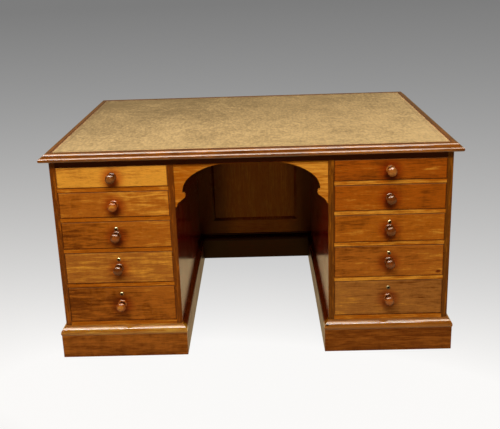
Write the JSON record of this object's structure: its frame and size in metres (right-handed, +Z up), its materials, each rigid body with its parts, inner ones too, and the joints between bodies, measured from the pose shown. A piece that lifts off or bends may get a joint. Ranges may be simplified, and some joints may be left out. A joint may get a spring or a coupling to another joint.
{
  "type": "kneehole library desk",
  "caption": "Kneehole library desk with two pedestals of graduated drawers, turned knobs, an arched apron, moulded plinth and a moulded top lined with leather.",
  "frame": {"origin": "on the floor, under the middle of the box round the whole desk", "axes": "+X to the right along the width, +Y from the drawer side to the back, +Z up"},
  "size_m": [1.435, 0.926, 0.775],
  "materials": {
    "front_mahogany": "polished golden brown mahogany with figured grain",
    "rail_mahogany": "polished straight-grained mahogany",
    "carcass_mahogany": "polished red brown mahogany",
    "edging_mahogany": "polished moulded mahogany",
    "plinth_mahogany": "polished mahogany, rubbed near the floor",
    "knob_mahogany": "turned and polished mahogany",
    "drawer_lining": "bare planed oak",
    "inner_softwood": "bare planed pine, darkened with age",
    "writing_leather": "olive tan hide with worn patches and a tooled border",
    "lock_brass": "worn brass",
    "bolt_steel": "filed steel"
  },
  "bodies": {
    "root": {"top_edging": "edging_mahogany", "top_panel": "inner_softwood", "writing_leather": "writing_leather", "frieze_rail": "rail_mahogany", "drawer_rails": "rail_mahogany", "drawer_runners": "inner_softwood", "dust_boards": "inner_softwood", "drawer_stops": "inner_softwood", "glue_blocks": "inner_softwood", "left_pedestal_sides": "carcass_mahogany", "right_pedestal_sides": "carcass_mahogany", "back_frames": "carcass_mahogany", "back_panels": "carcass_mahogany", "panel_mouldings": "edging_mahogany", "plinth_boards": "plinth_mahogany", "plinth_moulding": "edging_mahogany", "arched_apron": "front_mahogany"},
    "left_drawer_1": {"left_drawer_1_front": "front_mahogany", "left_drawer_1_box": "drawer_lining", "left_drawer_1_knob": "knob_mahogany"},
    "left_drawer_2": {"left_drawer_2_front": "front_mahogany", "left_drawer_2_box": "drawer_lining", "left_drawer_2_knob": "knob_mahogany"},
    "left_drawer_3_bolt": {"left_drawer_3_bolt": "bolt_steel"},
    "left_drawer_3": {"left_drawer_3_front": "front_mahogany", "left_drawer_3_box": "drawer_lining", "left_drawer_3_knob": "knob_mahogany", "left_drawer_3_lock": "lock_brass"},
    "left_drawer_4_bolt": {"left_drawer_4_bolt": "bolt_steel"},
    "left_drawer_4": {"left_drawer_4_front": "front_mahogany", "left_drawer_4_box": "drawer_lining", "left_drawer_4_knob": "knob_mahogany", "left_drawer_4_lock": "lock_brass"},
    "left_drawer_5_bolt": {"left_drawer_5_bolt": "bolt_steel"},
    "left_drawer_5": {"left_drawer_5_front": "front_mahogany", "left_drawer_5_box": "drawer_lining", "left_drawer_5_knob": "knob_mahogany", "left_drawer_5_lock": "lock_brass"},
    "right_drawer_1": {"right_drawer_1_front": "front_mahogany", "right_drawer_1_box": "drawer_lining", "right_drawer_1_knob": "knob_mahogany"},
    "right_drawer_2": {"right_drawer_2_front": "front_mahogany", "right_drawer_2_box": "drawer_lining", "right_drawer_2_knob": "knob_mahogany"},
    "right_drawer_3_bolt": {"right_drawer_3_bolt": "bolt_steel"},
    "right_drawer_3": {"right_drawer_3_front": "front_mahogany", "right_drawer_3_box": "drawer_lining", "right_drawer_3_knob": "knob_mahogany", "right_drawer_3_lock": "lock_brass"},
    "right_drawer_4_bolt": {"right_drawer_4_bolt": "bolt_steel"},
    "right_drawer_4": {"right_drawer_4_front": "front_mahogany", "right_drawer_4_box": "drawer_lining", "right_drawer_4_knob": "knob_mahogany", "right_drawer_4_lock": "lock_brass"},
    "right_drawer_5_bolt": {"right_drawer_5_bolt": "bolt_steel"},
    "right_drawer_5": {"right_drawer_5_front": "front_mahogany", "right_drawer_5_box": "drawer_lining", "right_drawer_5_knob": "knob_mahogany", "right_drawer_5_lock": "lock_brass"}
  },
  "joints": [
    {"name": "left_drawer_1_slide", "type": "slide", "parent": "root", "child": "left_drawer_1", "axis": [0, -1, 0], "range_m": [0, 0.5]},
    {"name": "left_drawer_2_slide", "type": "slide", "parent": "root", "child": "left_drawer_2", "axis": [0, -1, 0], "range_m": [0, 0.5]},
    {"name": "left_drawer_3_bolt_rise", "type": "slide", "parent": "left_drawer_3", "child": "left_drawer_3_bolt", "axis": [0, 0, 1], "range_m": [0, 0.006]},
    {"name": "left_drawer_3_slide", "type": "slide", "parent": "root", "child": "left_drawer_3", "axis": [0, -1, 0], "range_m": [0, 0.5]},
    {"name": "left_drawer_4_bolt_rise", "type": "slide", "parent": "left_drawer_4", "child": "left_drawer_4_bolt", "axis": [0, 0, 1], "range_m": [0, 0.006]},
    {"name": "left_drawer_4_slide", "type": "slide", "parent": "root", "child": "left_drawer_4", "axis": [0, -1, 0], "range_m": [0, 0.5]},
    {"name": "left_drawer_5_bolt_rise", "type": "slide", "parent": "left_drawer_5", "child": "left_drawer_5_bolt", "axis": [0, 0, 1], "range_m": [0, 0.006]},
    {"name": "left_drawer_5_slide", "type": "slide", "parent": "root", "child": "left_drawer_5", "axis": [0, -1, 0], "range_m": [0, 0.5]},
    {"name": "right_drawer_1_slide", "type": "slide", "parent": "root", "child": "right_drawer_1", "axis": [0, -1, 0], "range_m": [0, 0.5]},
    {"name": "right_drawer_2_slide", "type": "slide", "parent": "root", "child": "right_drawer_2", "axis": [0, -1, 0], "range_m": [0, 0.5]},
    {"name": "right_drawer_3_bolt_rise", "type": "slide", "parent": "right_drawer_3", "child": "right_drawer_3_bolt", "axis": [0, 0, 1], "range_m": [0, 0.006]},
    {"name": "right_drawer_3_slide", "type": "slide", "parent": "root", "child": "right_drawer_3", "axis": [0, -1, 0], "range_m": [0, 0.5]},
    {"name": "right_drawer_4_bolt_rise", "type": "slide", "parent": "right_drawer_4", "child": "right_drawer_4_bolt", "axis": [0, 0, 1], "range_m": [0, 0.006]},
    {"name": "right_drawer_4_slide", "type": "slide", "parent": "root", "child": "right_drawer_4", "axis": [0, -1, 0], "range_m": [0, 0.5]},
    {"name": "right_drawer_5_bolt_rise", "type": "slide", "parent": "right_drawer_5", "child": "right_drawer_5_bolt", "axis": [0, 0, 1], "range_m": [0, 0.006]},
    {"name": "right_drawer_5_slide", "type": "slide", "parent": "root", "child": "right_drawer_5", "axis": [0, -1, 0], "range_m": [0, 0.5]}
  ]
}
